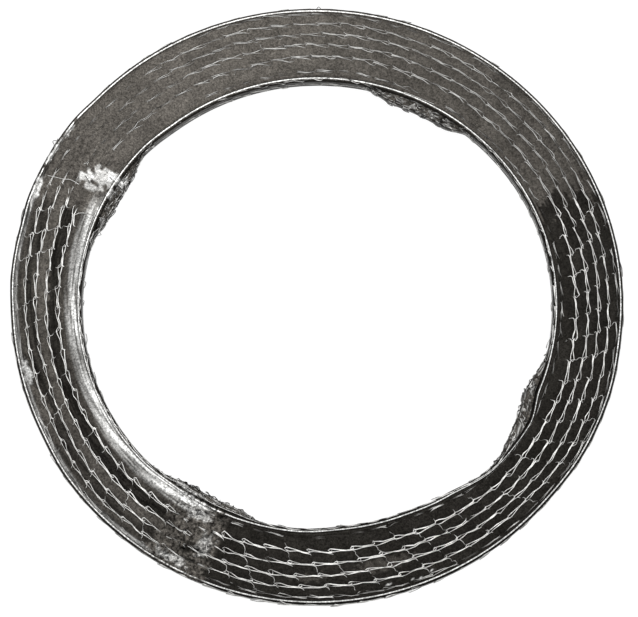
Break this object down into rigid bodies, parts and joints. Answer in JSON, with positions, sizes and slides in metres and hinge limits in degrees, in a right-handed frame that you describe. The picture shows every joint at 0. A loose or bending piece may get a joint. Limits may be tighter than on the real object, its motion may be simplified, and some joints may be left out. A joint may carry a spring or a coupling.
{
  "type": "wire mesh graphite ring gasket",
  "caption": "Flat ring gasket of knitted steel wire and pressed graphite, with four flats in its bore that grip the pipe it seals.",
  "frame": {"origin": "centre of the bore, on the plane of the lower rims", "axes": "+Z along the bore axis, out of the upper face; +X and +Y in the plane of the ring, with the first grip tab 63 degrees round from +X towards +Y"},
  "size_m": [0.12, 0.12, 0.0032],
  "materials": {
    "graphite": "die-pressed expanded graphite foil, burnished to a dull metallic sheen",
    "wire": "drawn stainless wire, knitted, its crowns polished flat by the die"
  },
  "bodies": {
    "root": {"graphite_filler": "graphite", "wire_mesh": "wire"}
  },
  "joints": []
}
